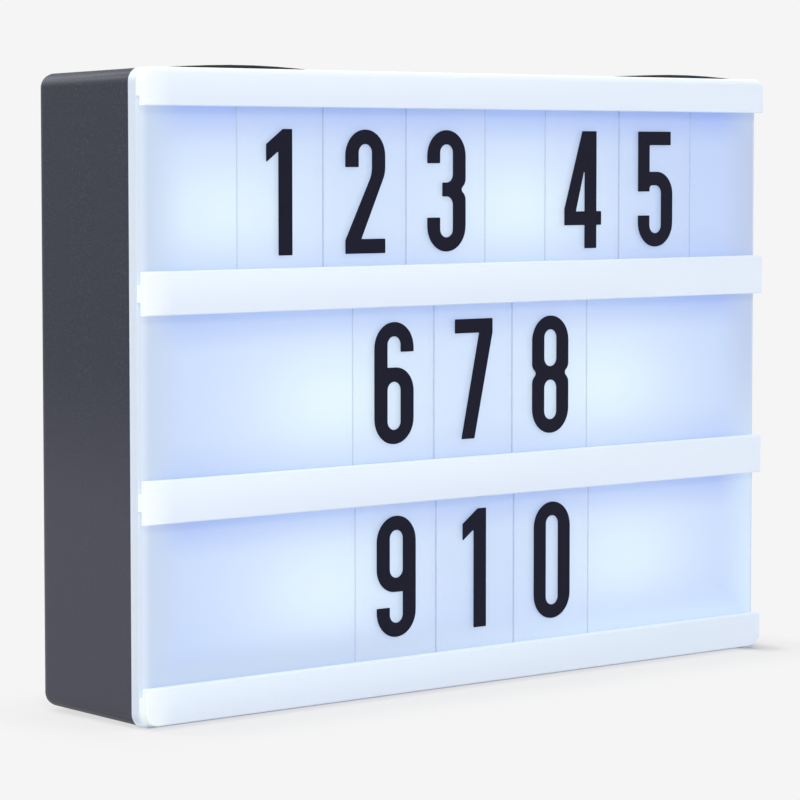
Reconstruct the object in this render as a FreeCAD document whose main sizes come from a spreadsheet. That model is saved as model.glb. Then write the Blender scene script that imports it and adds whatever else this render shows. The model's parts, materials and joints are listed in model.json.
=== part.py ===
import FreeCAD, Part
import math
import os
import Sketcher
from FreeCAD import Placement, Rotation, Vector

os.makedirs("parts", exist_ok=True)
doc = FreeCAD.newDocument("cinema_light_box")
sheet = doc.addObject("Spreadsheet::Sheet", "sizes")

# Driving dimensions in millimetres
drivingSizes = {
    # whole face and depth
    "face_width": 300,
    "face_height": 221.2,
    "corner_radius": 5,
    "foot_drop": 0.3,           # the white front hangs this far above the table
    "rail_proud": 4.4,
    "skirt_depth": 4.3,
    "case_depth": 54.3,
    # card rails
    "lip_thickness": 2.5,
    "lip_overhang": 4.4,
    "edge_overhang": 3.2,
    "middle_rail_height": 14.7,
    "edge_rail_height": 12.8,
    "bottom_rail_rise": 1.2,    # the bottom rail starts this far above the lower edge of the front
    "rail_edge_radius": 0.6,
    "tab_length": 24,
    "tab_height": 3,
    "tab_depth": 1.5,
    "tab_inset": 45,            # of the outer tabs, from the side of the face
    "tab_clearance": 0.1,
    # front moulding
    "plate_thickness": 2,
    "panel_edge_radius": 0.8,
    "tongue_depth": 3.5,
    "tongue_wall": 1.4,
    "tongue_clearance": 0.2,
    "boss_radius": 3.5,
    "boss_length": 6,
    # rear case
    "seam_inset": 0.2,
    "case_taper": 1.1,          # how far each side has drawn in at the back
    "case_wall": 2.2,
    "case_edge_radius": 4.5,
    "pillar_inset": 12,
    "pillar_radius": 4,
    "pillar_floor": 3,
    "pillar_gap": 0.2,
    "land_length": 70,
    "land_crown": 1.6,
    "land_depth": 12,
    "left_land_inset": 48.4,
    "right_land_inset": 38.5,
    # feet
    "foot_length": 40,
    "foot_width": 16,
    "foot_inset": 40,
    "foot_setback": 5,
    "foot_edge_radius": 0.4,
    # case screws
    "screw_radius": 1.5,
    "screw_length": 8,
    "screw_head_radius": 2.75,
    "screw_head_height": 2.2,
    "screw_clearance": 0.05,
    # letter cards
    "card_width": 38,
    "card_thickness": 0.6,
    "card_corner_radius": 1.2,
    "card_gap": 0.3,
    "card_play": 0.6,
    "card_clearance": 0.15,
    "upper_cards_start": 108.2,  # left edge of the first card, left of the middle
    "blank_width": 30,
    "middle_cards_start": 56.6,
    "lower_cards_start": 55.6,
    # battery bay
    "bay_level": 75.2,
    "cell_radius": 7.25,
    "cell_length": 50.5,
    "nub_radius": 2.75,
    "nub_height": 1,
    "cell_pitch": 15,
    "cell_clearance": 0.3,
    "cell_door_gap": 0.5,
    "divider_wall": 1.6,
    "bay_floor": 1.8,
    "bay_wall": 1.8,
    "bay_rim": 1.4,
    "contact_size": 10,
    "contact_thickness": 0.4,
    "contact_clearance": 0.05,
    "spring_length": 4,
    "spring_radius": 3.6,
    "spring_wire_radius": 0.3,
    "spring_turns": 3,
    "spring_cone_angle": 12,
    # battery door
    "door_thickness": 2,
    "door_clearance": 0.2,
    "hook_spread": 38,
    "hook_width": 10,
    "hook_thickness": 1.2,
    "hook_drop": 2.4,
    "hook_room": 1.6,
    "hook_gap": 0.2,
    "hook_side_gap": 0.4,
    "latch_width": 14,
    "latch_rise": 3.2,
    "latch_thickness": 1.4,
    "scoop_radius": 10,
    "scoop_depth": 2.8,
    "grip_rib_height": 0.8,
    "grip_rib_width": 1,
    "grip_rib_pitch": 2.4,
    # lamps
    "reflector_thickness": 0.8,
    "reflector_margin": 2,
    "reflector_hole_gap": 0.3,
    "strip_height": 10,
    "strip_thickness": 1.6,
    "strip_end": 20,
    "strip_gap": 0.2,
    "led_pitch": 140,
    "led_size": 5,
    "led_thickness": 1,
    "lens_radius": 1.9,
    "lens_height": 0.8,
    "led_drop": 3.4,            # the middle strip lies this far below the middle of the face
    "led_row_pitch": 66.5,
    "upper_strip_shift": 46,
    "lower_strip_shift": 2,
    "resistor_length": 3.2,
    "resistor_width": 1.6,
    "resistor_thickness": 0.6,
    "resistor_offset": 6,
    "post_radius": 3.5,
    "post_inset": 10,
    "led_screw_radius": 1.25,
    "led_screw_length": 6,
    "led_screw_head_radius": 2.3,
    "led_screw_head_height": 1.5,
    "pilot_extra": 1,
    # switch and power inlet
    "recess_inset": 50,
    "recess_drop": 30,
    "recess_width": 44,
    "recess_height": 16,
    "recess_depth": 3.2,
    "switch_offset": 10,
    "switch_width": 13,
    "switch_height": 6.6,
    "switch_depth": 6,
    "ear_width": 21,
    "ear_thickness": 0.6,
    "ear_screw_spread": 17.4,
    "ear_screw_radius": 0.9,
    "ear_screw_length": 2,
    "ear_screw_head_radius": 1.4,
    "ear_screw_head_height": 0.9,
    "knob_width": 4.2,
    "knob_height": 3.6,
    "knob_travel": 4,
    "knob_clearance": 0.2,
    "knob_root": 1.2,
    "knob_proud": 2.8,
    "knob_edge_radius": 0.5,
    "terminal_length": 3,
    "terminal_width": 1.2,
    "terminal_thickness": 0.5,
    "terminal_pitch": 4,
    "socket_offset": 16,
    "socket_width": 9,
    "socket_height": 11,
    "socket_depth": 12.5,
    "collar_radius": 4,
    "socket_bore_radius": 2.9,
    "socket_bore_depth": 9.5,
    "socket_pin_radius": 1,
    "socket_pin_setback": 1,
    # keyholes
    "keyhole_offset": 60,
    "keyhole_drop": 24,
    "keyhole_entry_radius": 4,
    "keyhole_slot_radius": 2,
    "keyhole_rise": 8,
    # wires
    "lead_radius": 0.65,
    "lead_gap": 0.1,
    "lead_bend": 4,
    "lead_pitch": 6,
    "lead_overlap": 3,
    "lead_depth": 10,
    "lead_hole_radius": 3,
    "lead_hole_rise": 6,
}
for number, (alias, value) in enumerate(drivingSizes.items(), start=1):
    sheet.set("A%d" % number, alias.replace("_", " "))
    sheet.set("B%d" % number, str(value))
    sheet.setAlias("B%d" % number, alias)
doc.recompute()


def num(expression):
    """Value in millimetres of an expression on the sheet."""
    return float(sheet.evalExpression(str(expression)))


def place(item, x="0", y="0", z="0"):
    """Bind an object's position to expressions."""
    for axis, expression in zip("xyz", (x, y, z)):
        item.setExpression("Placement.Base." + axis, str(expression))
    return item


def block(name, low, lengths):
    """Box from its lowest corner and its three lengths, all expressions."""
    item = doc.addObject("Part::Box", name)
    for side, expression in zip(("Length", "Width", "Height"), lengths):
        item.setExpression(side, str(expression))
    return place(item, *low)


alongX = Rotation(Vector(0, 1, 0), 90)
alongY = Rotation(Vector(1, 0, 0), -90)
alongZ = Rotation()


def rod(name, radius, length, start, turn=alongY):
    """Cylinder that runs from a start point in the positive direction of its axis."""
    item = doc.addObject("Part::Cylinder", name)
    item.Placement = Placement(Vector(), turn)
    item.setExpression("Radius", str(radius))
    item.setExpression("Height", str(length))
    return place(item, *start)


def join(name, pieces):
    """One solid from several that touch."""
    item = doc.addObject("Part::MultiFuse", name)
    item.Shapes = pieces
    item.Refine = True
    return item


def carve(name, base, tools):
    """Take the tools out of the base."""
    tool = tools[0] if len(tools) == 1 else join(name + "_tools", tools)
    item = doc.addObject("Part::Cut", name)
    item.Base = base
    item.Tool = tool
    item.Refine = True
    return item


def gather(label, pieces):
    """Several like solids that share one node."""
    item = doc.addObject("Part::Compound", label)
    item.Links = pieces
    return item


def newBody(name):
    return doc.addObject("PartDesign::Body", name)


def newSketch(body, name, role, offset):
    """Sketch on one of the body's own planes, moved along the plane's normal."""
    sketch = body.newObject("Sketcher::SketchObject", name)
    plane = [item for item in body.Origin.OriginFeatures if item.Role == role][0]
    sketch.AttachmentSupport = [(plane, "")]
    sketch.MapMode = "FlatFace"
    sketch.setExpression("AttachmentOffset.Base.z", str(offset))
    return sketch


def pin(sketch, geometry, point, x, y):
    """Hold one point of the sketch at two expressions."""
    for kind, expression in (("DistanceX", x), ("DistanceY", y)):
        value = num(expression)
        index = sketch.addConstraint(Sketcher.Constraint(kind, -1, 1, geometry, point, value))
        sketch.setExpression("Constraints[%d]" % index, str(expression))


def outline(sketch, points):
    """Closed outline of straight lines through points given as expressions."""
    corners = [Vector(num(x), num(y), 0) for x, y in points]
    first = sketch.GeometryCount
    count = len(points)
    for index in range(count):
        line = Part.LineSegment(corners[index], corners[(index + 1) % count])
        sketch.addGeometry(line, False)
    for index in range(count):
        following = first + (index + 1) % count
        sketch.addConstraint(Sketcher.Constraint("Coincident", first + index, 2, following, 1))
    for index, (x, y) in enumerate(points):
        pin(sketch, first + index, 1, x, y)
    return sketch


def rectangle(sketch, x, y, width, height):
    """Rectangle about a centre."""
    left, right = "(%s) - (%s) / 2" % (x, width), "(%s) + (%s) / 2" % (x, width)
    low, high = "(%s) - (%s) / 2" % (y, height), "(%s) + (%s) / 2" % (y, height)
    return outline(sketch, [(left, low), (right, low), (right, high), (left, high)])


def circle(sketch, x, y, radius):
    """Circle whose centre and radius are expressions."""
    geometry = sketch.addGeometry(
        Part.Circle(Vector(num(x), num(y), 0), Vector(0, 0, 1), num(radius)), False)
    pin(sketch, geometry, 3, x, y)
    index = sketch.addConstraint(Sketcher.Constraint("Radius", geometry, num(radius)))
    sketch.setExpression("Constraints[%d]" % index, str(radius))
    return sketch


def extrude(body, name, sketch, length, reverse=False, both=False, kind="PartDesign::Pad"):
    """Pad or pocket of a sketch, one way or to both sides."""
    item = body.newObject(kind, name)
    item.Profile = sketch
    item.setExpression("Length", str(length))
    item.Reversed = reverse
    item.SideType = "Symmetric" if both else "One side"
    doc.recompute()
    return item


def pocket(body, name, sketch, length, reverse=False, both=False):
    return extrude(body, name, sketch, length, reverse, both, "PartDesign::Pocket")


def chosenEdges(item, test):
    """Names of the edges that pass a test on their two ends."""
    names = []
    for number, edge in enumerate(item.Shape.Edges, start=1):
        ends = [vertex.Point for vertex in edge.Vertexes]
        if len(ends) == 2 and test(ends[0], ends[1]):
            names.append("Edge%d" % number)
    return names


def roundEdges(body, name, base, test, radius):
    """Fillet on the edges of the base that pass the test."""
    item = body.newObject("PartDesign::Fillet", name)
    item.Base = (base, chosenEdges(base, test))
    item.setExpression("Radius", str(radius))
    doc.recompute()
    return item


tiny = 1e-4


def near(a, b):
    return abs(a - b) < tiny


def leans(axis):
    """Test for edges that run mostly along one axis."""
    others = [name for name in ("x", "y", "z") if name != axis]

    def test(a, b):
        reach = abs(getattr(a, axis) - getattr(b, axis))
        return reach > max(abs(getattr(a, other) - getattr(b, other)) for other in others)
    return test


def liesAt(axis, value):
    """Test for edges that lie in one plane."""
    return lambda a, b: near(getattr(a, axis), value) and near(getattr(b, axis), value)


# Levels and planes that several pieces share
halfDepth = "((sizes.rail_proud + sizes.skirt_depth + sizes.case_depth) / 2)"
frontY = "(-%s)" % halfDepth
plateY = "(%s + sizes.rail_proud)" % frontY
seamY = "(%s + sizes.skirt_depth)" % plateY
backY = halfDepth
lipBackY = "(%s + sizes.lip_thickness)" % frontY
plateBackY = "(%s + sizes.plate_thickness)" % plateY
bottomZ = "sizes.foot_drop"
topZ = "(sizes.foot_drop + sizes.face_height)"
middleZ = "(sizes.foot_drop + sizes.face_height / 2)"
railsLowZ = "(sizes.foot_drop + sizes.bottom_rail_rise)"
railHeights = "(2 * sizes.edge_rail_height + 2 * sizes.middle_rail_height)"
windowHeight = "((%s - %s - %s) / 3)" % (topZ, railsLowZ, railHeights)
lowerRailZ = "(%s + sizes.edge_rail_height + %s)" % (railsLowZ, windowHeight)
upperRailZ = "(%s + sizes.middle_rail_height + %s)" % (lowerRailZ, windowHeight)
innerBackY = "(%s - sizes.case_wall)" % backY


# Card rails: a web against the plate and a lip in front that holds the cards
tabReach = "(sizes.face_width / 2 - sizes.tab_inset)"
tabCentres = ("-" + tabReach, "0", tabReach)


def finishRail(body, base, level):
    """Soften the front edges and add three locating tabs, which sit in slots in the plate."""
    roundEdges(body, "soft_front", base, liesAt("y", num(frontY)), "sizes.rail_edge_radius")
    sketch = newSketch(body, "tab_sketch", "XZ_Plane", "-" + plateY)
    for centre in tabCentres:
        rectangle(sketch, centre, level, "sizes.tab_length", "sizes.tab_height")
    body.Tip = extrude(body, "tabs", sketch, "sizes.tab_depth", reverse=True)
    return body


def middleRail(name, low):
    """Rail between two rows: its lip reaches up and down."""
    body = newBody(name)
    high = "(%s + sizes.middle_rail_height)" % low
    webLow = "(%s + sizes.lip_overhang)" % low
    webHigh = "(%s - sizes.lip_overhang)" % high
    sketch = newSketch(body, "section", "YZ_Plane", "0")
    outline(sketch, [(frontY, low), (lipBackY, low), (lipBackY, webLow), (plateY, webLow),
                     (plateY, webHigh), (lipBackY, webHigh), (lipBackY, high), (frontY, high)])
    bar = extrude(body, "bar", sketch, "sizes.face_width", both=True)
    return finishRail(body, bar, "(%s + %s) / 2" % (low, high))


def edgeRail(name, outer, sign):
    """Rail at the top or the bottom of the face: its lip reaches inwards only."""
    body = newBody(name)
    inner = "(%s - (%s) * sizes.edge_rail_height)" % (outer, sign)
    web = "(%s + (%s) * sizes.edge_overhang)" % (inner, sign)
    sketch = newSketch(body, "section", "YZ_Plane", "0")
    outline(sketch, [(frontY, outer), (plateY, outer), (plateY, web), (lipBackY, web),
                     (lipBackY, inner), (frontY, inner)])
    bar = extrude(body, "bar", sketch, "sizes.face_width", both=True)
    outerZ = num(outer)
    corners = roundEdges(body, "corners", bar,
                         lambda a, b: leans("y")(a, b) and near(a.z, outerZ), "sizes.corner_radius")
    return finishRail(body, corners, "(%s + %s) / 2" % (outer, web))


bottomWebZ = "(%s + sizes.edge_rail_height - sizes.edge_overhang)" % railsLowZ
topWebZ = "(%s - sizes.edge_rail_height + sizes.edge_overhang)" % topZ
rails = [
    edgeRail("top_rail", topZ, "1"),
    middleRail("upper_middle_rail", upperRailZ),
    middleRail("lower_middle_rail", lowerRailZ),
    edgeRail("bottom_rail", railsLowZ, "-1"),
]
railTabLevels = [
    "(%s + %s) / 2" % (topZ, topWebZ),
    "%s + sizes.middle_rail_height / 2" % upperRailZ,
    "%s + sizes.middle_rail_height / 2" % lowerRailZ,
    "(%s + %s) / 2" % (railsLowZ, bottomWebZ),
]

# Screw places, shared by the bosses of the front moulding and the pillars of the case
pillarX = "(sizes.face_width / 2 - sizes.pillar_inset)"
pillarLow = "(%s + sizes.pillar_inset)" % bottomZ
pillarHigh = "(%s - sizes.pillar_inset)" % topZ
screwPlaces = [(x, z) for z in (pillarLow, pillarHigh) for x in ("-" + pillarX, "0", pillarX)]
bossEndY = "(%s + sizes.boss_length)" % plateBackY
pillarStartY = "(%s + sizes.pillar_gap)" % bossEndY
seatY = "(%s + sizes.pillar_floor)" % pillarStartY


# Front moulding: plate, skirt, a tongue that enters the case, and six bosses
def frontPanel():
    body = newBody("front_panel")
    skirt = rectangle(newSketch(body, "skirt_sketch", "XZ_Plane", "-" + plateY),
                      "0", middleZ, "sizes.face_width", "sizes.face_height")
    extrude(body, "skirt", skirt, "sizes.skirt_depth", reverse=True)
    inset = "(sizes.seam_inset + sizes.case_wall + sizes.tongue_clearance)"
    tongueWidth = "(sizes.face_width - 2 * %s)" % inset
    tongueHeight = "(sizes.face_height - 2 * %s)" % inset
    tongue = rectangle(newSketch(body, "tongue_sketch", "XZ_Plane", "-" + seamY),
                       "0", middleZ, tongueWidth, tongueHeight)
    extrude(body, "tongue", tongue, "sizes.tongue_depth", reverse=True)
    hollowWidth = "(%s - 2 * sizes.tongue_wall)" % tongueWidth
    hollow = rectangle(newSketch(body, "hollow_sketch", "XZ_Plane", "-" + plateBackY), "0", middleZ,
                       hollowWidth, "(%s - 2 * sizes.tongue_wall)" % tongueHeight)
    edged = pocket(body, "hollow", hollow, "sizes.skirt_depth + sizes.tongue_depth")
    tongueRadius = "(sizes.corner_radius - sizes.case_wall + sizes.tongue_clearance)"
    for label, width, radius in (("hollow_corners", hollowWidth, tongueRadius + " - sizes.tongue_wall"),
                                 ("tongue_corners", tongueWidth, tongueRadius),
                                 ("outer_corners", "sizes.face_width", "sizes.corner_radius")):
        half = num(width) / 2
        edged = roundEdges(body, label, edged,
                           lambda a, b: leans("y")(a, b) and near(abs(a.x), half), radius)
    roundEdges(body, "soft_front", edged, liesAt("y", num(plateY)), "sizes.panel_edge_radius")
    slots = newSketch(body, "tab_slots_sketch", "XZ_Plane", "-" + plateY)
    for level in railTabLevels:
        for centre in tabCentres:
            rectangle(slots, centre, level, "(sizes.tab_length + 2 * sizes.tab_clearance)",
                      "(sizes.tab_height + 2 * sizes.tab_clearance)")
    pocket(body, "tab_slots", slots, "sizes.tab_depth + sizes.tab_clearance")
    bosses = newSketch(body, "boss_sketch", "XZ_Plane", "-" + plateBackY)
    for x, z in screwPlaces:
        circle(bosses, x, z, "sizes.boss_radius")
    extrude(body, "bosses", bosses, "sizes.boss_length", reverse=True)
    holes = newSketch(body, "boss_hole_sketch", "XZ_Plane", "-" + bossEndY)
    for x, z in screwPlaces:
        circle(holes, x, z, "sizes.screw_radius + sizes.screw_clearance")
    body.Tip = pocket(body, "boss_holes", holes, "sizes.boss_length", reverse=True)
    return body


panel = frontPanel()


# Rear case
def drawnIn(y):
    """How far the walls of the case have drawn in at a depth."""
    return "(sizes.case_taper * ((%s) - %s) / sizes.case_depth)" % (y, seamY)


def taperedShell(name, inset, endY, cornerRadius, edgeRadius):
    """Solid that narrows from the seam towards the back, its side edges and back edges rounded."""
    body = newBody(name)
    sketch = rectangle(newSketch(body, "front_outline", "XZ_Plane", "-" + seamY), "0", middleZ,
                       "(sizes.face_width - 2 * (%s))" % inset, "(sizes.face_height - 2 * (%s))" % inset)
    bulk = extrude(body, "bulk", sketch, "%s - %s" % (endY, seamY), reverse=True)
    bulk.setExpression("TaperAngle", "-atan(sizes.case_taper / sizes.case_depth)")
    doc.recompute()
    sides = roundEdges(body, "side_edges", bulk, leans("y"), cornerRadius)
    end = num(endY)
    body.Tip = roundEdges(body, "back_edges", sides, liesAt("y", end), edgeRadius)
    return body


caseOuter = taperedShell("case_outer", "sizes.seam_inset", backY,
                         "sizes.corner_radius", "sizes.case_edge_radius")
caseInner = taperedShell("case_inner", "sizes.seam_inset + sizes.case_wall", innerBackY,
                         "sizes.corner_radius - sizes.case_wall",
                         "sizes.case_edge_radius - sizes.case_wall")
shell = carve("case_shell", caseOuter, [caseInner])


def crownedLand(name, x):
    """Low crowned land on the top wall, just behind the seam."""
    start = "(%s - sizes.seam_inset)" % topZ
    big = "(sizes.land_length ^ 2 / (8 * sizes.land_crown) + sizes.land_crown / 2)"
    root = "(sizes.case_wall / 2 + %s)" % drawnIn(seamY + " + sizes.land_depth")
    drum = rod(name + "_drum", big, "sizes.land_depth",
               (x, seamY, "%s + sizes.land_crown - %s" % (start, big)))
    limits = block(name + "_limits",
                   ("(%s) - sizes.land_length / 2" % x, seamY, "%s - %s" % (start, root)),
                   ("sizes.land_length", "sizes.land_depth", "%s + 2 * sizes.land_crown" % root))
    item = doc.addObject("Part::Common", name)
    item.Base = drum
    item.Tool = limits
    return item


lands = [crownedLand("left_land", "-(sizes.face_width / 2 - sizes.left_land_inset)"),
         crownedLand("right_land", "(sizes.face_width / 2 - sizes.right_land_inset)")]

# Depths inside the case, counted from the back
doorInnerY = "(%s - sizes.door_thickness)" % backY
cellY = "(%s - sizes.cell_door_gap - sizes.cell_radius)" % doorInnerY
bayFloorY = "(%s - sizes.cell_radius - sizes.cell_clearance)" % cellY
bayFrontY = "(%s - sizes.bay_floor)" % bayFloorY
reflectorY = "(%s - sizes.reflector_thickness)" % bayFrontY
stripBackY = "(%s - sizes.strip_gap)" % reflectorY
stripFrontY = "(%s - sizes.strip_thickness)" % stripBackY
bayZ = "(%s + sizes.bay_level)" % bottomZ

# Battery bay sizes
halfBay = "(sizes.cell_length + sizes.spring_length + 2 * sizes.contact_thickness + sizes.cell_clearance)"
bayWidth = "(2 * %s + sizes.divider_wall)" % halfBay
bayHeight = "(3 * sizes.cell_pitch + 2 * sizes.cell_clearance)"
openWidth = "(%s + 2 * sizes.bay_rim)" % bayWidth
openHeight = "(%s + 2 * sizes.bay_rim)" % bayHeight
openLowZ = "(%s - %s / 2)" % (bayZ, openHeight)
openHighZ = "(%s + %s / 2)" % (bayZ, openHeight)
hookRoomDrop = "(sizes.hook_drop + 2 * sizes.hook_gap + sizes.door_clearance)"
bayLowZ = "(%s - %s - sizes.bay_wall)" % (openLowZ, hookRoomDrop)
bayHighZ = "(%s + sizes.scoop_radius + sizes.bay_wall)" % openHighZ
bayOuterWidth = "(%s + 2 * sizes.bay_wall)" % openWidth


def centredBlock(name, x, lowY, highY, lowZ, highZ, width):
    """Box centred in X between two depths and two levels."""
    return block(name, ("(%s) - (%s) / 2" % (x, width), lowY, lowZ),
                 (width, "(%s) - (%s)" % (highY, lowY), "(%s) - (%s)" % (highZ, lowZ)))


bayBlock = centredBlock("bay_block", "0", bayFrontY, innerBackY, bayLowZ, bayHighZ, bayOuterWidth)
doorOpening = centredBlock("door_opening", "0", doorInnerY + " - sizes.contact_clearance", backY,
                           openLowZ, openHighZ, openWidth)
bays = [centredBlock(side + "_bay", "%s (%s + sizes.divider_wall) / 2" % (sign, halfBay), bayFloorY, backY,
                     "(%s - %s / 2)" % (bayZ, bayHeight), "(%s + %s / 2)" % (bayZ, bayHeight), halfBay)
        for side, sign in (("left", "-1 *"), ("right", "1 *"))]
hookRoomY = "(%s - sizes.hook_gap - sizes.hook_thickness - sizes.hook_room)" % doorInnerY
hookRooms = [centredBlock("hook_room_%d" % number, x, hookRoomY, doorInnerY,
                          "(%s - %s)" % (openLowZ, hookRoomDrop), openLowZ + " + sizes.bay_rim",
                          "(sizes.hook_width + 2 * sizes.hook_side_gap)")
             for number, x in enumerate(("-sizes.hook_spread", "sizes.hook_spread"), start=1)]
scoop = rod("latch_scoop", "sizes.scoop_radius", "sizes.scoop_depth",
            ("0", backY + " - sizes.scoop_depth", openHighZ))

# Screw pillars and lamp posts
pillars = [rod("pillar_%d" % number, "sizes.pillar_radius", "%s - %s" % (innerBackY, pillarStartY),
               (x, pillarStartY, z)) for number, (x, z) in enumerate(screwPlaces, start=1)]
pillarBores = [rod("pillar_bore_%d" % number, "sizes.screw_head_radius + 2 * sizes.screw_clearance",
                   "%s - %s" % (backY, seatY), (x, seatY, z))
               for number, (x, z) in enumerate(screwPlaces, start=1)]
pillarHoles = [rod("pillar_hole_%d" % number, "sizes.screw_radius + sizes.screw_clearance",
                   "sizes.pillar_floor", (x, pillarStartY, z))
               for number, (x, z) in enumerate(screwPlaces, start=1)]
stripLevels = ["(%s - sizes.led_drop + %d * sizes.led_row_pitch)" % (middleZ, row) for row in (-1, 0, 1)]
stripShifts = ["sizes.lower_strip_shift", "sizes.lower_strip_shift", "-sizes.upper_strip_shift"]
stripReach = "(sizes.led_pitch / 2 + sizes.post_inset)"
postPlaces = [("(%s %s %s)" % (shift, sign, stripReach), level)
              for level, shift in zip(stripLevels, stripShifts) for sign in ("-", "+")]
posts = [rod("post_%d" % number, "sizes.post_radius", "%s - %s" % (innerBackY, stripBackY),
             (x, stripBackY, z)) for number, (x, z) in enumerate(postPlaces, start=1)]
postHoles = [rod("post_hole_%d" % number, "sizes.led_screw_radius + sizes.screw_clearance",
                 "sizes.led_screw_length - sizes.strip_thickness + sizes.pilot_extra", (x, stripBackY, z))
             for number, (x, z) in enumerate(postPlaces, start=1)]

# Recess for the switch and the power inlet
recessX = "(sizes.face_width / 2 - sizes.recess_inset)"
recessZ = "(%s - sizes.recess_drop)" % topZ
recessFloorY = "(%s - sizes.recess_depth)" % backY
recessInnerY = "(%s - sizes.case_wall)" % recessFloorY
recessBlock = centredBlock("recess_block", recessX, recessInnerY, innerBackY,
                           recessZ + " - sizes.recess_height / 2 - sizes.case_wall",
                           recessZ + " + sizes.recess_height / 2 + sizes.case_wall",
                           "(sizes.recess_width + 2 * sizes.case_wall)")
recess = centredBlock("recess", recessX, recessFloorY, backY,
                      recessZ + " - sizes.recess_height / 2", recessZ + " + sizes.recess_height / 2",
                      "sizes.recess_width")
switchX = "(%s - sizes.switch_offset)" % recessX
socketX = "(%s + sizes.socket_offset)" % recessX
knobX = "(%s + sizes.knob_travel / 2)" % switchX
slotWidth = "(sizes.knob_width + sizes.knob_travel + 2 * sizes.knob_clearance)"
slotHalfHeight = "(sizes.knob_height / 2 + sizes.knob_clearance)"
switchSlot = centredBlock("switch_slot", switchX, recessInnerY, recessFloorY,
                          "%s - %s" % (recessZ, slotHalfHeight), "%s + %s" % (recessZ, slotHalfHeight),
                          slotWidth)
earScrewPlaces = ["(%s %s sizes.ear_screw_spread / 2)" % (switchX, sign) for sign in ("-", "+")]
earHoles = [rod("ear_hole_%d" % number, "sizes.ear_screw_radius + sizes.screw_clearance",
                "sizes.ear_screw_length - sizes.ear_thickness + 2 * sizes.screw_clearance",
                (x, recessInnerY, recessZ)) for number, x in enumerate(earScrewPlaces, start=1)]
collarHole = rod("collar_hole", "sizes.collar_radius + sizes.knob_clearance", "sizes.case_wall",
                 (socketX, recessInnerY, recessZ))

# Keyholes for hanging on two wall screws
keyholeZ = "(%s - sizes.keyhole_drop)" % topZ
keyholes = []
for number, x in enumerate(("-sizes.keyhole_offset", "sizes.keyhole_offset"), start=1):
    keyholes.append(rod("keyhole_entry_%d" % number, "sizes.keyhole_entry_radius", "sizes.case_wall",
                        (x, innerBackY, keyholeZ)))
    keyholes.append(rod("keyhole_end_%d" % number, "sizes.keyhole_slot_radius", "sizes.case_wall",
                        (x, innerBackY, keyholeZ + " + sizes.keyhole_rise")))
    keyholes.append(centredBlock("keyhole_slot_%d" % number, x, innerBackY, backY, keyholeZ,
                                 keyholeZ + " + sizes.keyhole_rise", "2 * sizes.keyhole_slot_radius"))

caseBulk = join("case_bulk", [shell, bayBlock, recessBlock] + lands + pillars + posts)
rearCase = carve("rear_case", caseBulk, [doorOpening, scoop, recess, switchSlot, collarHole] + bays
                 + hookRooms + pillarBores + pillarHoles + postHoles + earHoles + keyholes)


# Rubber feet, wedges that follow the rising underside of the case
def foot(name, x):
    body = newBody(name)
    startY = "(%s + sizes.foot_setback)" % seamY
    endY = "(%s + sizes.foot_length)" % startY
    startZ, endZ = ["(%s + sizes.seam_inset + %s)" % (bottomZ, drawnIn(y)) for y in (startY, endY)]
    sketch = newSketch(body, "side_outline", "YZ_Plane", x)
    outline(sketch, [(startY, "0"), (endY, "0"), (endY, endZ), (startY, startZ)])
    wedge = extrude(body, "wedge", sketch, "sizes.foot_width", both=True)
    body.Tip = roundEdges(body, "soft_edges", wedge, liesAt("z", 0), "sizes.foot_edge_radius")
    return body


footX = "(sizes.face_width / 2 - sizes.foot_inset)"
feet = [foot("left_foot", "-" + footX), foot("right_foot", footX)]


# Screws: a pan head behind, a plain shank in front
def screw(name, place3, radius, length, headRadius, headHeight):
    """Screw whose head seat lies at the given point and whose shank runs to the front."""
    x, y, z = place3
    shank = rod(name + "_shank", radius, length, (x, "(%s) - (%s)" % (y, length), z))
    head = rod(name + "_head", headRadius, headHeight, (x, y, z))
    return join(name, [shank, head])


def reversedScrew(name, place3, radius, length, headRadius, headHeight):
    """Screw driven from the front: its shank runs to the back from the head seat."""
    x, y, z = place3
    shank = rod(name + "_shank", radius, length, (x, y, z))
    head = rod(name + "_head", headRadius, headHeight, (x, "(%s) - (%s)" % (y, headHeight), z))
    return join(name, [shank, head])


caseScrews = gather("case_screws", [
    screw("case_screw_%d" % number, (x, seatY, z), "sizes.screw_radius", "sizes.screw_length",
          "sizes.screw_head_radius", "sizes.screw_head_height")
    for number, (x, z) in enumerate(screwPlaces, start=1)])

# Lamps: three strips, each with two lamps, on posts in front of a white sheet
reflectorInset = "(sizes.pillar_inset + sizes.pillar_radius + sizes.reflector_margin)"
leadHoleZ = "(%s + sizes.strip_height / 2 + sizes.lead_hole_rise)" % stripLevels[2]
reflectorHoles = [rod("reflector_hole_%d" % number, "sizes.post_radius + sizes.reflector_hole_gap",
                      "sizes.reflector_thickness", (x, reflectorY, z))
                  for number, (x, z) in enumerate(postPlaces, start=1)]
leadHole = rod("lead_hole", "sizes.lead_hole_radius + sizes.lead_pitch / 2", "sizes.reflector_thickness",
               ("0", reflectorY, leadHoleZ))
reflectorPlate = centredBlock("reflector_plate", "0", reflectorY, bayFrontY,
                              bottomZ + " + " + reflectorInset, topZ + " - " + reflectorInset,
                              "(sizes.face_width - 2 * %s)" % reflectorInset)
reflector = carve("reflector_sheet", reflectorPlate, reflectorHoles + [leadHole])

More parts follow.
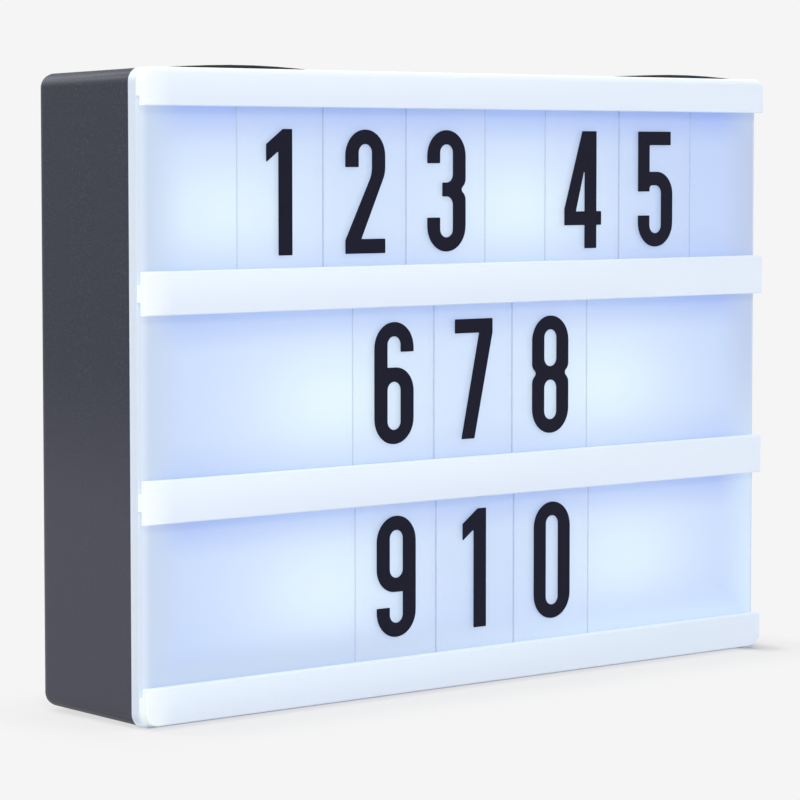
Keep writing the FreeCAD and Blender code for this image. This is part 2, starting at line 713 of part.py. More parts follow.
stripLength = "(sizes.led_pitch + 2 * sizes.strip_end)"
strips = []
lamps = []
resistors = []
stripNames = ("lower_led_strip", "middle_led_strip", "upper_led_strip")
for row, (name, level, shift) in enumerate(zip(stripNames, stripLevels, stripShifts)):
    board = centredBlock(name + "_board", shift, stripFrontY, stripBackY, level + " - sizes.strip_height / 2",
                         level + " + sizes.strip_height / 2", stripLength)
    holes = [rod("%s_hole_%d" % (name, number), "sizes.led_screw_radius + sizes.screw_clearance",
                 "sizes.strip_thickness", (x, stripFrontY, z))
             for number, (x, z) in enumerate(postPlaces[2 * row:2 * row + 2], start=1)]
    strips.append(carve(name, board, holes))
    for number, sign in enumerate(("-", "+"), start=1):
        lampX = "(%s %s sizes.led_pitch / 2)" % (shift, sign)
        packageY = "(%s - sizes.led_thickness)" % stripFrontY
        package = centredBlock("package_%d_%d" % (row, number), lampX, packageY, stripFrontY,
                               level + " - sizes.led_size / 2", level + " + sizes.led_size / 2",
                               "sizes.led_size")
        lens = rod("lens_%d_%d" % (row, number), "sizes.lens_radius", "sizes.lens_height",
                   (lampX, packageY + " - sizes.lens_height", level))
        lamps.append(join("lamp_%d_%d" % (row, number), [package, lens]))
        resistorX = "(%s %s (-1) * (sizes.led_size / 2 + sizes.resistor_offset))" % (lampX, sign)
        resistors.append(centredBlock("resistor_%d_%d" % (row, number), resistorX,
                                      stripFrontY + " - sizes.resistor_thickness", stripFrontY,
                                      level + " - sizes.resistor_width / 2",
                                      level + " + sizes.resistor_width / 2", "sizes.resistor_length"))
leds = gather("leds", lamps)
ledResistors = gather("led_resistors", resistors)
ledScrews = gather("led_screws", [
    reversedScrew("led_screw_%d" % number, (x, stripFrontY, z), "sizes.led_screw_radius",
                  "sizes.led_screw_length", "sizes.led_screw_head_radius", "sizes.led_screw_head_height")
    for number, (x, z) in enumerate(postPlaces, start=1)])

# Battery cells with their contacts and springs; the cells of each row lie the other way round
cells = []
plates = []
springs = []
halfPitch = "(sizes.divider_wall / 2 + %s / 2)" % halfBay
nubTip = "(sizes.cell_length / 2)"
turnEdges = ["Edge%d" % (turn + 1) for turn in range(math.ceil(num("sizes.spring_turns")))]
for row in (-1, 0, 1):
    for column in (-1, 1):
        way = 1 if row == 0 else -1          # the side that the nub points to
        tag = "%d_%d" % (row + 1, column + 1)
        level = "(%s + %d * sizes.cell_pitch)" % (bayZ, row)
        bayCentre = "(%d * %s)" % (column, halfPitch)
        # the nub end lies against its flat contact, and the spring fills the other end
        contactReach = "(%s / 2 - sizes.contact_thickness)" % halfBay
        cellX = "(%s + %d * (%s - %s - sizes.contact_clearance))" % (bayCentre, way, contactReach, nubTip)
        cellStart, cellEnd = "(%s - %s)" % (cellX, nubTip), "(%s + %s)" % (cellX, nubTip)
        canLow = cellStart if way > 0 else "(%s + sizes.nub_height)" % cellStart
        can = rod("can_" + tag, "sizes.cell_radius", "sizes.cell_length - sizes.nub_height",
                  (canLow, cellY, level), alongX)
        nubLow = "(%s - sizes.nub_height)" % cellEnd if way > 0 else cellStart
        nub = rod("nub_" + tag, "sizes.nub_radius", "sizes.nub_height", (nubLow, cellY, level), alongX)
        cells.append(join("cell_" + tag, [can, nub]))
        for side in (-1, 1):
            plateX = "(%s + %d * (%s / 2 - sizes.contact_thickness / 2))" % (bayCentre, side, halfBay)
            plates.append(centredBlock("plate_%s_%d" % (tag, side + 1), plateX,
                                       cellY + " - sizes.contact_size / 2",
                                       cellY + " + sizes.contact_size / 2",
                                       level + " - sizes.contact_size / 2",
                                       level + " + sizes.contact_size / 2", "sizes.contact_thickness"))
        coil = doc.addObject("Part::Helix", "coil_" + tag)
        wire = "(sizes.spring_wire_radius + sizes.contact_clearance)"
        coil.setExpression("Height", "sizes.spring_length - 2 * " + wire)
        coil.setExpression("Pitch", "(sizes.spring_length - 2 * %s) / sizes.spring_turns" % wire)
        coil.setExpression("Radius", "sizes.spring_radius")
        coil.setExpression("Angle", "-sizes.spring_cone_angle")
        coil.SegmentLength = 1
        section = doc.addObject("Part::Circle", "wire_" + tag)
        section.setExpression("Radius", "sizes.spring_wire_radius")
        section.Placement = Placement(Vector(), Rotation(Vector(1, 0, 0), 90))
        section.setExpression("Placement.Base.x", "sizes.spring_radius")
        sweep = doc.addObject("Part::Sweep", "spring_" + tag)
        sweep.Sections = [section]
        sweep.Spine = (coil, turnEdges)
        sweep.Solid = True
        # the wide end stands on the contact away from the nub
        sweep.Placement = Placement(Vector(), Rotation(Vector(0, 1, 0), 90 * way))
        rootX = "(%s - %d * (%s - %s))" % (bayCentre, way, contactReach, wire)
        springs.append(place(sweep, rootX, cellY, level))
batteries = gather("batteries", cells)
batteryContacts = gather("battery_contacts", plates)
batterySprings = gather("battery_springs", springs)


# Battery door with two hooks below and a finger latch above
def batteryDoor():
    lowZ, highZ = openLowZ + " + sizes.door_clearance", openHighZ + " - sizes.door_clearance"
    cover = centredBlock("door_cover", "0", doorInnerY, backY, lowZ, highZ,
                         "(%s - 2 * sizes.door_clearance)" % openWidth)
    outerY = "(%s - sizes.hook_gap)" % doorInnerY
    hooks = []
    for number, x in enumerate(("-sizes.hook_spread", "sizes.hook_spread"), start=1):
        hookInnerY = outerY + " - sizes.hook_thickness"
        hooks.append(centredBlock("hook_%d" % number, x, hookInnerY, outerY, lowZ + " - sizes.hook_drop",
                                  lowZ + " + sizes.bay_rim / 2", "sizes.hook_width"))
        hooks.append(centredBlock("hook_root_%d" % number, x, hookInnerY, doorInnerY, lowZ,
                                  lowZ + " + sizes.bay_rim / 2", "sizes.hook_width"))
    tongue = centredBlock("latch_tongue", "0", doorInnerY, doorInnerY + " + sizes.latch_thickness",
                          highZ, highZ + " + sizes.latch_rise", "sizes.latch_width")
    ribs = [centredBlock("grip_rib_%d" % number, "0", doorInnerY + " + sizes.latch_thickness / 2",
                         doorInnerY + " + sizes.latch_thickness + sizes.grip_rib_height / 2",
                         "%s + sizes.latch_rise - sizes.grip_rib_width * %d" % (highZ, 2 * number + 1),
                         "%s + sizes.latch_rise - sizes.grip_rib_width * %d" % (highZ, 2 * number),
                         "(sizes.latch_width - 2 * sizes.grip_rib_pitch)") for number in (0, 1)]
    return join("battery_door", [cover, tongue] + hooks + ribs)


door = batteryDoor()

# Slide switch behind the recess floor
switchFrontY = recessInnerY
switchCanY = "(%s - sizes.switch_depth)" % recessInnerY
switchLowZ = recessZ + " - sizes.switch_height / 2"
switchHighZ = recessZ + " + sizes.switch_height / 2"
ears = centredBlock("switch_ears", switchX, switchFrontY + " - sizes.ear_thickness", switchFrontY,
                    switchLowZ, switchHighZ, "sizes.ear_width")
can = centredBlock("switch_can", switchX, switchCanY, switchFrontY, switchLowZ, switchHighZ,
                   "sizes.switch_width")
rootRoom = "(sizes.knob_root + sizes.knob_clearance)"
knobRoom = centredBlock("knob_room", switchX, "%s - %s" % (switchFrontY, rootRoom), switchFrontY,
                        "%s - %s" % (recessZ, slotHalfHeight), "%s + %s" % (recessZ, slotHalfHeight),
                        slotWidth)
earBores = [rod("ear_bore_%d" % number, "sizes.ear_screw_radius + sizes.screw_clearance",
                "sizes.ear_thickness", (x, switchFrontY + " - sizes.ear_thickness", recessZ))
            for number, x in enumerate(earScrewPlaces, start=1)]
terminals = [centredBlock("terminal_%d" % number, "%s + %s * sizes.terminal_pitch" % (switchX, step),
                          switchCanY + " - sizes.terminal_length", switchCanY,
                          recessZ + " - sizes.terminal_thickness / 2",
                          recessZ + " + sizes.terminal_thickness / 2", "sizes.terminal_width")
             for number, step in enumerate(("-1", "0", "1"), start=1)]
switchBody = carve("switch_body", join("switch_bulk", [ears, can] + terminals), [knobRoom] + earBores)


def switchKnob():
    body = newBody("switch_knob")
    rootY = "(%s - sizes.knob_root)" % switchFrontY
    length = "(sizes.knob_root + sizes.case_wall + sizes.knob_proud)"
    base = rectangle(newSketch(body, "knob_sketch", "XZ_Plane", "-" + rootY),
                     knobX, recessZ, "sizes.knob_width", "sizes.knob_height")
    stem = extrude(body, "stem", base, length, reverse=True)
    tip = num("%s + %s" % (rootY, length))
    body.Tip = roundEdges(body, "soft_tip", stem, liesAt("y", tip), "sizes.knob_edge_radius")
    return body


knob = switchKnob()
switchScrews = gather("switch_screws", [
    reversedScrew("switch_screw_%d" % number, (x, switchFrontY + " - sizes.ear_thickness", recessZ),
                  "sizes.ear_screw_radius", "sizes.ear_screw_length", "sizes.ear_screw_head_radius",
                  "sizes.ear_screw_head_height") for number, x in enumerate(earScrewPlaces, start=1)])

# Power inlet: a block behind the recess floor, a collar through it, a bore and a centre pin
socketBlock = centredBlock("socket_block", socketX, recessInnerY + " - sizes.socket_depth", recessInnerY,
                           recessZ + " - sizes.socket_height / 2", recessZ + " + sizes.socket_height / 2",
                           "sizes.socket_width")
collar = rod("collar", "sizes.collar_radius", "sizes.case_wall", (socketX, recessInnerY, recessZ))
socketBore = rod("socket_bore", "sizes.socket_bore_radius", "sizes.socket_bore_depth",
                 (socketX, recessFloorY + " - sizes.socket_bore_depth", recessZ))
centrePin = rod("centre_pin", "sizes.socket_pin_radius", "sizes.socket_bore_depth - sizes.socket_pin_setback",
                (socketX, recessFloorY + " - sizes.socket_bore_depth", recessZ))
socketShell = carve("socket_shell", join("socket_bulk", [socketBlock, collar]), [socketBore])
powerSocket = join("power_socket", [socketShell, centrePin])


# Wires inside, each a round wire along straight runs joined by arcs
def wirePath(points, bend):
    """Wire through the points with an arc of the same radius at each corner."""
    edges = []
    start = points[0]
    for index in range(1, len(points) - 1):
        corner = points[index]
        back = (points[index - 1] - corner).normalize()
        ahead = (points[index + 1] - corner).normalize()
        half = back.getAngle(ahead) / 2
        reach = bend / math.tan(half)
        middle = (back + ahead).normalize() * (bend / math.sin(half) - bend)
        arcStart, arcEnd = corner + back * reach, corner + ahead * reach
        edges.append(Part.LineSegment(start, arcStart).toShape())
        edges.append(Part.Arc(arcStart, corner + middle, arcEnd).toShape())
        start = arcEnd
    edges.append(Part.LineSegment(start, points[-1]).toShape())
    return Part.Wire(edges)


def leadSolid(points, bend):
    radius = num("sizes.lead_radius")
    path = wirePath(points, bend)
    direction = points[1] - points[0]
    profile = Part.Wire(Part.makeCircle(radius, points[0], direction))
    return path.makePipeShell([profile], True, False)


def leadGroup(label, routes):
    """Node of several wires; a route is a list of points given as expressions."""
    item = doc.addObject("Part::Feature", label)
    bend = num("sizes.lead_bend")
    solids = [leadSolid([Vector(num(x), num(y), num(z)) for x, y, z in route], bend) for route in routes]
    item.Shape = Part.makeCompound(solids)
    return item


jumpers = []
leadFrontY = "(%s - sizes.lead_radius - sizes.lead_gap)" % stripFrontY
for row in (0, 1):
    low = "(%s + sizes.strip_height / 2 - sizes.lead_overlap)" % stripLevels[row]
    high = "(%s - sizes.strip_height / 2 + sizes.lead_overlap)" % stripLevels[row + 1]
    for number, x in enumerate(("-sizes.lead_pitch / 2", "sizes.lead_pitch / 2"), start=1):
        jumpers.append(rod("jumper_%d_%d" % (row, number), "sizes.lead_radius", "%s - %s" % (high, low),
                           (x, leadFrontY, low), alongZ))
jumperLeads = gather("jumper_leads", jumpers)

leadY = "(%s - sizes.lead_depth)" % backY
bayRightX = "(%s / 2 + sizes.lead_radius + sizes.lead_gap)" % bayOuterWidth
terminalY = "(%s - sizes.terminal_length + sizes.lead_radius)" % switchCanY
terminalLow = "(%s - sizes.terminal_thickness / 2 - sizes.lead_radius - sizes.lead_gap)" % recessZ
socketLow = "(%s - sizes.socket_height / 2 - sizes.lead_radius - sizes.lead_gap)" % recessZ
switchLeadX = "(%s - sizes.terminal_pitch)" % switchX
longRun = "4 * sizes.lead_bend"
batteryLeads = leadGroup("battery_leads", [
    [(bayRightX, leadY, bayZ), (bayRightX, leadY, bayHighZ),
     (switchX, terminalY, "%s - %s" % (terminalLow, longRun)), (switchX, terminalY, terminalLow)],
    [(bayRightX, leadY, "%s - sizes.cell_pitch" % bayZ),
     ("%s + %s" % (bayRightX, longRun), leadY, "%s - sizes.cell_pitch" % bayZ),
     (socketX, leadY, "%s - %s" % (socketLow, longRun)), (socketX, leadY, socketLow)],
])
boardTopZ = "(%s + sizes.strip_height / 2)" % stripLevels[2]
leftLeadX, rightLeadX = "-sizes.lead_pitch / 2", "sizes.lead_pitch / 2"
nearBackY = "(%s - sizes.lead_pitch)" % innerBackY
supplyLeads = leadGroup("supply_leads", [
    [(rightLeadX, leadFrontY, boardTopZ + " - sizes.lead_overlap"), (rightLeadX, leadFrontY, leadHoleZ),
     (rightLeadX, terminalY, leadHoleZ), (switchLeadX, terminalY, leadHoleZ),
     (switchLeadX, terminalY, terminalLow)],
    [(leftLeadX, leadFrontY, boardTopZ + " - sizes.lead_overlap"), (leftLeadX, leadFrontY, leadHoleZ),
     (leftLeadX, nearBackY, leadHoleZ), ("%s - sizes.lead_pitch / 2" % socketX, nearBackY, leadHoleZ)],
])


# Letter cards in their rows
cardHeight = ("(%s + sizes.lip_overhang + min(sizes.lip_overhang; sizes.edge_overhang) - sizes.card_play)"
              % windowHeight)
cardY = "(%s + (sizes.lip_thickness + sizes.rail_proud - sizes.card_thickness) / 2)" % frontY


def card(name, left, level):
    """Clear card that stands on the web of the rail below it."""
    body = newBody(name)
    x = "((%s) + sizes.card_width / 2)" % left
    z = "((%s) + sizes.card_clearance + %s / 2)" % (level, cardHeight)
    sketch = rectangle(newSketch(body, "card_sketch", "XZ_Plane", "-" + cardY), x, z,
                       "sizes.card_width", cardHeight)
    sheetPad = extrude(body, "film", sketch, "sizes.card_thickness", reverse=True)
    body.Tip = roundEdges(body, "corners", sheetPad, leans("y"), "sizes.card_corner_radius")
    return body


cardStep = "(sizes.card_width + sizes.card_gap)"
middleRailLedge = "(%s + sizes.middle_rail_height - sizes.lip_overhang)"
rowStarts = {
    "upper": ("-sizes.upper_cards_start", middleRailLedge % upperRailZ, range(5)),
    "middle": ("-sizes.middle_cards_start", middleRailLedge % lowerRailZ, range(3)),
    "lower": ("-sizes.lower_cards_start", bottomWebZ, range(3)),
}
cards = []
for row, (start, level, places) in rowStarts.items():
    for number in places:
        blank = " + sizes.blank_width - sizes.card_gap" if number > 2 else ""
        left = "%s + %d * %s%s" % (start, number, cardStep, blank)
        cards.append(card("%s_card_%d" % (row, number + 1), left, level))

doc.recompute()

# Every piece is checked, then written under its own name
pieces = ([panel] + rails + [rearCase] + feet + [caseScrews, reflector] + strips
          + [leds, ledResistors, ledScrews, batteries, batteryContacts, batterySprings, door,
             switchBody, knob, switchScrews, powerSocket, jumperLeads, batteryLeads, supplyLeads] + cards)
for item in doc.Objects:
    if "Invalid" in item.State or "Error" in item.State:
        raise RuntimeError("%s did not build: %s" % (item.Name, item.State))
for item in pieces:
    if item.Shape.isNull() or not item.Shape.isValid():
        raise RuntimeError("%s has no valid shape" % item.Name)
    item.Label = item.Name
    item.Shape.exportStep("parts/%s.step" % item.Label)
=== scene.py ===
import json
import math

import bmesh
import bpy
from mathutils import Matrix, Vector


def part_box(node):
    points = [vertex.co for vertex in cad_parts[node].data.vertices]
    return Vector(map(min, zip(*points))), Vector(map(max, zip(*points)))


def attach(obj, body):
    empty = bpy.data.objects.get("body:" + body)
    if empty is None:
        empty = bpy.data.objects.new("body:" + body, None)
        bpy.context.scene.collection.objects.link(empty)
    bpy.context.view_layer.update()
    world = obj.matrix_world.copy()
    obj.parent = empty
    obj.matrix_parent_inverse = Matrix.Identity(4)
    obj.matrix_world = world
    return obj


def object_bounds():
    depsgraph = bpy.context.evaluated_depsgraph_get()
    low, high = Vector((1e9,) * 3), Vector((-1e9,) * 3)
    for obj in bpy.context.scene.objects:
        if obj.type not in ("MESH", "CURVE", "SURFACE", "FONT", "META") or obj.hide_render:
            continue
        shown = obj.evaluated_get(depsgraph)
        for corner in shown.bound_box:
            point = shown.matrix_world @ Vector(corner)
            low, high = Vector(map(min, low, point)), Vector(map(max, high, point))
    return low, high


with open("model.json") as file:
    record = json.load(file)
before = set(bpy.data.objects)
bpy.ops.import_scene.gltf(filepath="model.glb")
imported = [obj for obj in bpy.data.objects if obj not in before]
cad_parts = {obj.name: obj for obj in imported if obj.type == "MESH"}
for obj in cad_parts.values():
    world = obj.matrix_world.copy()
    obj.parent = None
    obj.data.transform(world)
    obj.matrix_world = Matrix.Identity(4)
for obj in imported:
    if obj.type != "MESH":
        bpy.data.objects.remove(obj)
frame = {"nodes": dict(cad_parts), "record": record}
cadBox = [list(corner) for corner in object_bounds()]
nodes = frame["nodes"]
print("frame loaded:", len(nodes), "nodes")

mm = 0.001


def toLinear(code):
    channels = [int(code[start:start + 2], 16) / 255 for start in (1, 3, 5)]
    linear = [c / 12.92 if c <= 0.04045 else ((c + 0.055) / 1.055) ** 2.4 for c in channels]
    return (*linear, 1.0)


# A colour a little lighter than the one given, for the other end of a faint unevenness
def lighten(colour, factor):
    return tuple(min(1.0, c * factor) for c in colour[:3]) + (1.0,)


def addNode(tree, kind, settings=None, values=None, links=None):
    node = tree.nodes.new(kind)
    for name, value in (settings or {}).items():
        setattr(node, name, value)
    for socket, value in (values or {}).items():
        node.inputs[socket].default_value = value
    for socket, source in (links or {}).items():
        tree.links.new(source, node.inputs[socket])
    return node


def newMaterial(name, values):
    material = bpy.data.materials.new(name)
    material.use_nodes = True
    tree = material.node_tree
    shader = tree.nodes["Principled BSDF"]
    for socket, value in values.items():
        shader.inputs[socket].default_value = value
    coords = addNode(tree, "ShaderNodeTexCoord").outputs["Object"]
    return material, tree, shader, coords


def maths(tree, operation, first, second=0.0, clamp=False):
    node = addNode(tree, "ShaderNodeMath", {"operation": operation, "use_clamp": clamp})
    for socket, source in enumerate((first, second)):
        if isinstance(source, (int, float)):
            node.inputs[socket].default_value = source
        else:
            tree.links.new(source, node.inputs[socket])
    return node.outputs[0]


def mixColours(tree, factor, first, second):
    node = addNode(tree, "ShaderNodeMix", {"data_type": "RGBA"})
    for socket, source in ((0, factor), (6, first), (7, second)):
        if isinstance(source, bpy.types.NodeSocket):
            tree.links.new(source, node.inputs[socket])
        else:
            node.inputs[socket].default_value = source
    return node.outputs[2]


def splitAxes(tree, vector):
    return addNode(tree, "ShaderNodeSeparateXYZ", None, None, {0: vector}).outputs


# Fine noise, its size given in millimetres
def addNoise(tree, coords, size, detail=2.0):
    noise = addNode(tree, "ShaderNodeTexNoise", None, {"Scale": 1 / (size * mm), "Detail": detail},
                    {"Vector": coords})
    return noise.outputs[0]


# Grain of a surface as bump, from the size and depth of its grain in millimetres
def addGrain(tree, shader, coords, grain, detail=2.0):
    size, depth = grain
    noise = addNoise(tree, coords, size, detail)
    bump = addNode(tree, "ShaderNodeBump", None, {"Strength": 1.0, "Distance": depth * mm},
                   {"Height": noise})
    tree.links.new(bump.outputs[0], shader.inputs["Normal"])
    return noise


# 0 at start, 1 at end and smooth between them; end may be the lower one
def smoothStep(tree, source, start, end):
    node = addNode(tree, "ShaderNodeMapRange", {"interpolation_type": "SMOOTHSTEP"},
                   {"From Min": start, "From Max": end}, {"Value": source})
    return node.outputs[0]


# The same with its two places in millimetres
def fadeOver(tree, source, places):
    start, end = places
    return smoothStep(tree, source, start * mm, end * mm)


# Camera at the place and angle of the photograph, millimetres and degrees
cameraPlace = {
    "lens": 155.07, "target": (-33.68, -27.1, 105.68), "distance": 1222.5,
    "yaw": -41.423, "pitch": 3.980, "roll": -0.027,
    "clip": (0.05, 50.0),    # metres
}


def addCamera(place):
    yaw, pitch, roll = (math.radians(place[name]) for name in ("yaw", "pitch", "roll"))
    back = Vector((math.sin(yaw) * math.cos(pitch), -math.cos(yaw) * math.cos(pitch), math.sin(pitch)))
    side = Vector((0, 0, 1)).cross(back).normalized()
    turn = Matrix((side, back.cross(side), back)).transposed() @ Matrix.Rotation(roll, 3, "Z")
    eye = (Vector(place["target"]) + back * place["distance"]) * mm
    data = bpy.data.cameras.new("camera")
    data.lens = place["lens"]
    data.clip_start, data.clip_end = place["clip"]
    camera = bpy.data.objects.new("camera", data)
    camera.matrix_world = Matrix.Translation(eye) @ turn.to_4x4()
    bpy.context.scene.collection.objects.link(camera)
    bpy.context.scene.camera = camera


addCamera(cameraPlace)
print("camera placed")

# Studio: pale floor that runs into the backdrop, soft even light. Colours and strengths are plain;
# the softboxes are in metres and watts.
studio = {
    "backdrop": "#F5F5F5", "floorColour": "#DEDDDC", "floorRoughness": 0.9, "floorSize": 30.0,
    "worldColour": "#FFFFFF", "worldLight": 0.52, "aim": (0, 0, 0.1),
}
softboxes = {
    "key": {"from": (-1.8, -2.7, 2.0), "size": 1.2, "power": 47.0},
    "top": {"from": (-0.1, 0.2, 2.8), "size": 1.8, "power": 30.0},
    "behind": {"from": (-0.9, 2.4, 1.95), "size": 1.9, "power": 34.0},
}
# How much of the floor's shadow the camera sees, by distance from the object's box in millimetres:
# lift is the share of backdrop colour close to the box, and it reaches 1 over the fade. Beside the
# right end the lift is less by sideDepth, within sideWidth of the box.
floorShadow = {
    "lift": 0.74, "fade": (6.0, 42.0), "sideDepth": 0.70, "sideStart": (140.0, 150.0), "sideWidth": 14.0,
}


def cameraOrGloss(tree):
    path = addNode(tree, "ShaderNodeLightPath")
    either = maths(tree, "MAXIMUM", path.outputs["Is Camera Ray"], path.outputs["Is Glossy Ray"])
    return maths(tree, "MAXIMUM", either, path.outputs["Is Transmission Ray"])


def buildWorld():
    world = bpy.data.worlds.new("studio")
    world.use_nodes = True
    bpy.context.scene.world = world
    tree = world.node_tree
    shown = addNode(tree, "ShaderNodeBackground", None, {"Color": toLinear(studio["backdrop"])})
    lit = addNode(tree, "ShaderNodeBackground", None,
                  {"Color": toLinear(studio["worldColour"]), "Strength": studio["worldLight"]})
    mix = addNode(tree, "ShaderNodeMixShader", None, None,
                  {0: cameraOrGloss(tree), 1: lit.outputs[0], 2: shown.outputs[0]})
    tree.links.new(mix.outputs[0], tree.nodes["World Output"].inputs[0])


# Distance of a point of the floor from the object's box
def distanceFromBox(tree, coords):
    low, high = (Vector(corner) for corner in cadBox)
    capped = addNode(tree, "ShaderNodeVectorMath", {"operation": "MINIMUM"}, {1: high}, {0: coords})
    nearest = addNode(tree, "ShaderNodeVectorMath", {"operation": "MAXIMUM"}, {1: low},
                      {0: capped.outputs[0]})
    reach = addNode(tree, "ShaderNodeVectorMath", {"operation": "DISTANCE"}, None,
                    {0: coords, 1: nearest.outputs[0]})
    return reach.outputs["Value"]


def shadowLift(tree, coords):
    reach = distanceFromBox(tree, coords)
    far = fadeOver(tree, reach, floorShadow["fade"])
    beside = fadeOver(tree, splitAxes(tree, coords)["X"], floorShadow["sideStart"])
    near = maths(tree, "SUBTRACT", 1.0, fadeOver(tree, reach, (0.0, floorShadow["sideWidth"])))
    shade = maths(tree, "MULTIPLY", maths(tree, "MULTIPLY", beside, near), floorShadow["sideDepth"])
    lift = maths(tree, "SUBTRACT", floorShadow["lift"], shade)
    return maths(tree, "ADD", lift, maths(tree, "MULTIPLY", maths(tree, "SUBTRACT", 1.0, lift), far))


def buildFloor():
    shape = bmesh.new()
    bmesh.ops.create_grid(shape, x_segments=8, y_segments=8, size=studio["floorSize"])
    mesh = bpy.data.meshes.new("floor")
    shape.to_mesh(mesh)
    shape.free()
    floor = bpy.data.objects.new("floor", mesh)
    bpy.context.scene.collection.objects.link(floor)
    material, tree, shader, coords = newMaterial("paintedFloor", {
        "Base Color": toLinear(studio["floorColour"]), "Roughness": studio["floorRoughness"],
        "Specular IOR Level": 0.0})
    shown = addNode(tree, "ShaderNodeEmission", None, {"Color": toLinear(studio["backdrop"])})
    factor = maths(tree, "MULTIPLY", shadowLift(tree, coords), cameraOrGloss(tree))
    mix = addNode(tree, "ShaderNodeMixShader", None, None,
                  {0: factor, 1: shader.outputs[0], 2: shown.outputs[0]})
    tree.links.new(mix.outputs[0], tree.nodes["Material Output"].inputs[0])
    mesh.materials.append(material)


def addSoftbox(name, box):
    data = bpy.data.lights.new(name, "AREA")
    data.shape = "DISK"
    data.size = box["size"]
    data.energy = box["power"]
    light = bpy.data.objects.new(name, data)
    place = Vector(box["from"])
    light.location = place
    light.rotation_euler = (place - Vector(studio["aim"])).to_track_quat("Z", "Y").to_euler()
    bpy.context.scene.collection.objects.link(light)


buildWorld()
buildFloor()
for name, box in softboxes.items():
    addSoftbox(name, box)
bpy.context.scene.view_settings.view_transform = "Standard"
print("studio built")


# Heights that repeat up the face, all from the CAD rails
def rowHeights():
    railLow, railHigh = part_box("lower_middle_rail")
    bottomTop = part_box("bottom_rail")[1].z
    return {"pitch": railHigh.z - bottomTop, "window": railLow.z - bottomTop,
            "rail": railHigh.z - railLow.z, "windowFoot": bottomTop, "railFoot": railLow.z}


# Height above the nearest start below, where a start comes once in each row
def heightInRow(tree, axes, start):
    above = maths(tree, "SUBTRACT", axes["Z"], start)
    return maths(tree, "FLOORED_MODULO", above, rowHeights()["pitch"])


# Front plate: opal polystyrene, satin from the mould, lit from behind by six lamps. It reads as an even
# lavender blue with a soft pale pool in front of each lamp, and painted shade dims it just under and just
# over each rail. Towards its left end and its foot, where more room light than lamp light comes out of it,
# it turns paler and greyer, and its right end is paler low down and bluer high up. Lengths are in
# millimetres, ends from the middle.
plateLook = {
    "body": "#898B90", "dim": "#6385CE", "full": "#C7DAE3",
    "evenLight": 0.30, "poolLight": 0.50, "poolWidth": 53.0, "poolHeight": 27.6, "fallOff": -1.5,
    # painted shade just under and just over each rail, and how far it reaches
    "underRailShade": 0.30, "overRailShade": 0.10, "railShadeReach": 15.0,
    "ends": (128.0, 149.5), "foot": (29.0, 14.0), "footShare": 0.85,
    "left": "#9BAEC7", "rightLow": "#AFC6DD", "rightHigh": "#8C9FC2", "rightFade": (35.0, 140.0),
    "spill": "#B2C1D3", "spillReach": 5.5,
    "rim": "#DAE4F2", "rimGlow": "#212B35", "rimWidth": 1.6, "rimFull": 0.48,
    # painted light: a bright line along the back edge of the skirt, where it meets the case
    "seam": "#696F69", "seamWidth": 1.4,
    "ior": 1.59, "roughness": 0.42, "grain": (0.5, 0.006),
}
# Pools of light in front of each strip: how far each is from the middle, and its strength
lampPools = {
    "lower_led_strip": ((-70.0, 1.0), (79.0, 0.96)),
    "middle_led_strip": ((-67.0, 1.04), (66.0, 1.0)),
    "upper_led_strip": ((-66.0, 1.0), (70.0, 1.0)),
}


def poolPlaces():
    places = []
    for name, pools in lampPools.items():
        low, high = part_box(name)
        for offset, strength in pools:
            places.append(((low.x + high.x) / 2 + offset * mm, (low.z + high.z) / 2, strength))
    return places


# Light behind the plate: even light and one bell per lamp. Painted shade makes it less just under and
# just over each rail.
def lampGlow(tree, axes):
    total = plateLook["evenLight"]
    for x, z, strength in poolPlaces():
        across = maths(tree, "DIVIDE", maths(tree, "SUBTRACT", axes["X"], x), plateLook["poolWidth"] * mm)
        upwards = maths(tree, "DIVIDE", maths(tree, "SUBTRACT", axes["Z"], z), plateLook["poolHeight"] * mm)
        squares = maths(tree, "ADD", maths(tree, "MULTIPLY", across, across),
                        maths(tree, "MULTIPLY", upwards, upwards))
        bell = maths(tree, "POWER", maths(tree, "ADD", squares, 1.0), plateLook["fallOff"])
        total = maths(tree, "ADD", total, maths(tree, "MULTIPLY", bell, plateLook["poolLight"] * strength))
    # Painted shade just under and just over each rail, taken off the glow
    heights = rowHeights()
    place = heightInRow(tree, axes, heights["windowFoot"])
    reach = plateLook["railShadeReach"] * mm
    under = smoothStep(tree, place, heights["window"] - reach, heights["window"])
    over = smoothStep(tree, place, reach, 0.0)
    total = maths(tree, "SUBTRACT", total, maths(tree, "MULTIPLY", under, plateLook["underRailShade"]))
    return maths(tree, "SUBTRACT", total, maths(tree, "MULTIPLY", over, plateLook["overRailShade"]), clamp=True)


# Paler tone at the two ends and along the foot, and light that spills in from the left rim
def paleEnds(tree, axes, low, high, pool):
    sideways = maths(tree, "ABSOLUTE", axes["X"])
    ends = fadeOver(tree, sideways, plateLook["ends"])
    foot = fadeOver(tree, axes["Z"], plateLook["foot"])
    paler = maths(tree, "MAXIMUM", ends, maths(tree, "MULTIPLY", foot, plateLook["footShare"]))
    rise = fadeOver(tree, axes["Z"], plateLook["rightFade"])
    right = mixColours(tree, rise, toLinear(plateLook["rightLow"]), toLinear(plateLook["rightHigh"]))
    across = smoothStep(tree, axes["X"], low.x / 2, high.x / 2)
    pool = mixColours(tree, paler, pool, mixColours(tree, across, toLinear(plateLook["left"]), right))
    fromLeft = maths(tree, "SUBTRACT", axes["X"], low.x)
    spill = fadeOver(tree, fromLeft, (plateLook["spillReach"], plateLook["rimWidth"]))
    return mixColours(tree, spill, pool, toLinear(plateLook["spill"]))


